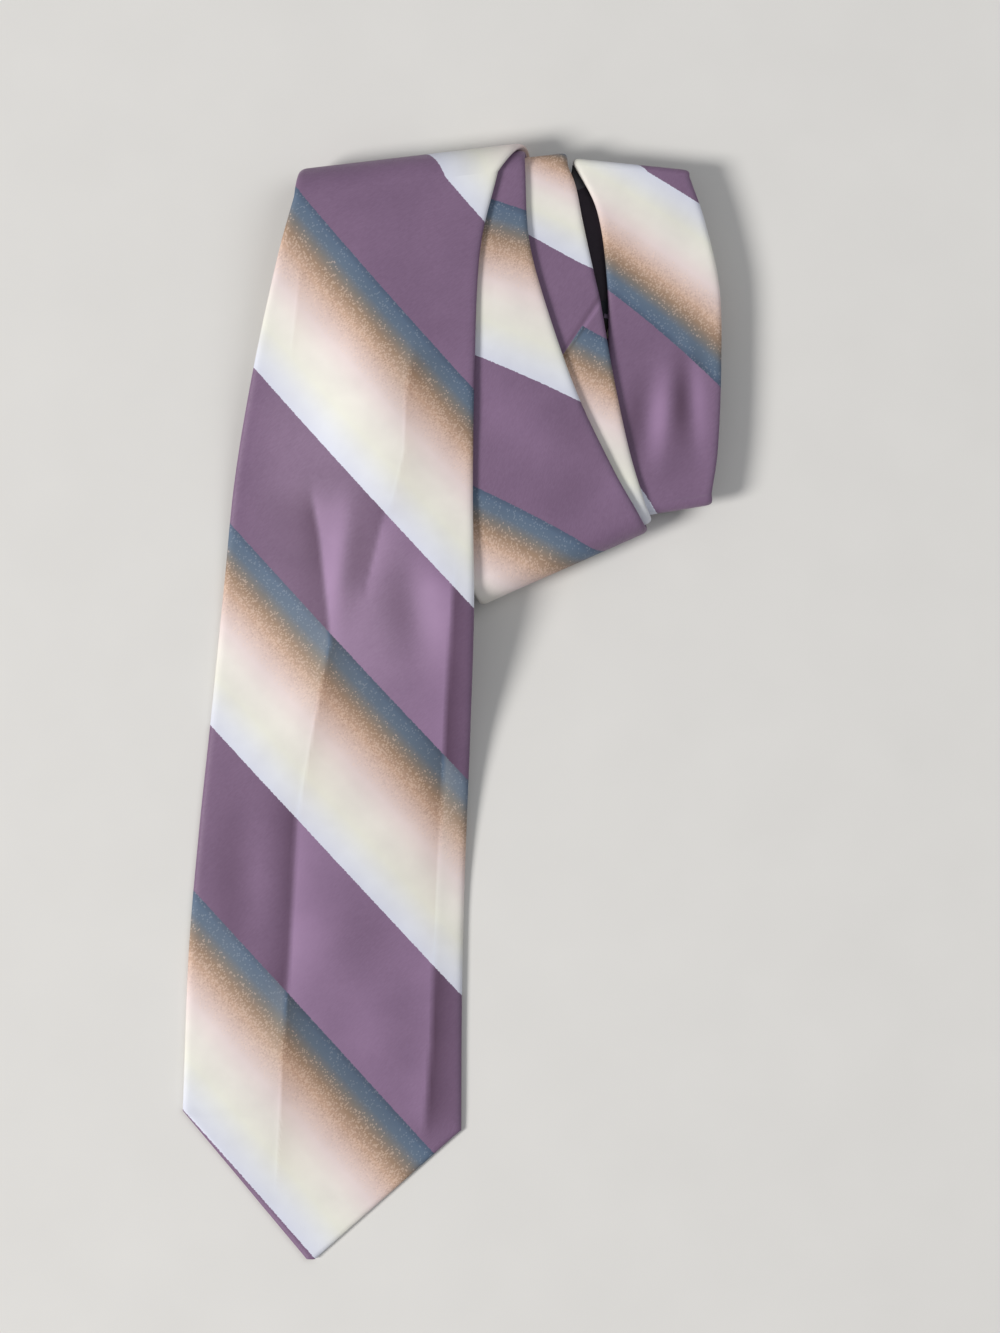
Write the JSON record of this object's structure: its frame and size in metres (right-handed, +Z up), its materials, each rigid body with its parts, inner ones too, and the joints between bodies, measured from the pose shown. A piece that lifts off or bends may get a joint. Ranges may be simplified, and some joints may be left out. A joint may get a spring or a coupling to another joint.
{
  "type": "necktie",
  "caption": "Long necktie with diagonal stripes, made up from a folded silk shell over an interlining, laid face up and rolled into a loose flat spiral.",
  "frame": {"origin": "middle of the base, on the surface the tie rests on", "axes": "+Z up, +Y from the blade's point towards the top fold, +X to the right with the blade face up and its point towards -Y"},
  "size_m": [0.1831, 0.379, 0.0205],
  "materials": {
    "striped_silk": "satin woven silk in diagonal stripes",
    "wool_interlining": "brushed wool",
    "lining_satin": "satin lining",
    "label_tape": "woven tape, blank",
    "sewing_thread": "twisted thread"
  },
  "bodies": {
    "roll": {"top_fold_shell": "striped_silk", "top_fold_interlining": "wool_interlining", "wrap_shell": "striped_silk", "neck_shell": "striped_silk", "tail_shell": "striped_silk", "wrap_interlining": "wool_interlining", "tail_interlining": "wool_interlining", "interlining_join": "sewing_thread", "front_neck_seam": "sewing_thread", "neck_tail_seam": "sewing_thread", "coil_slip_stitch": "sewing_thread", "tail_tipping": "lining_satin", "tail_tipping_stitches": "sewing_thread", "tail_bar_tack": "sewing_thread"},
    "blade": {"front_blade_shell": "striped_silk", "front_blade_interlining": "wool_interlining", "front_tipping": "lining_satin", "front_tipping_stitches": "sewing_thread", "front_bar_tack": "sewing_thread", "keeper_loop": "striped_silk", "loop_tacks": "sewing_thread", "care_label": "label_tape", "blade_slip_stitch": "sewing_thread"}
  },
  "joints": [
    {"name": "blade_lift", "type": "hinge", "parent": "roll", "child": "blade", "pos_m": [-0.01267, 0.18543, 0.00985], "axis": [-0.9932, -0.1167, 0], "range_deg": [0, 175], "deforming": ["top_fold_shell", "top_fold_interlining"]}
  ]
}
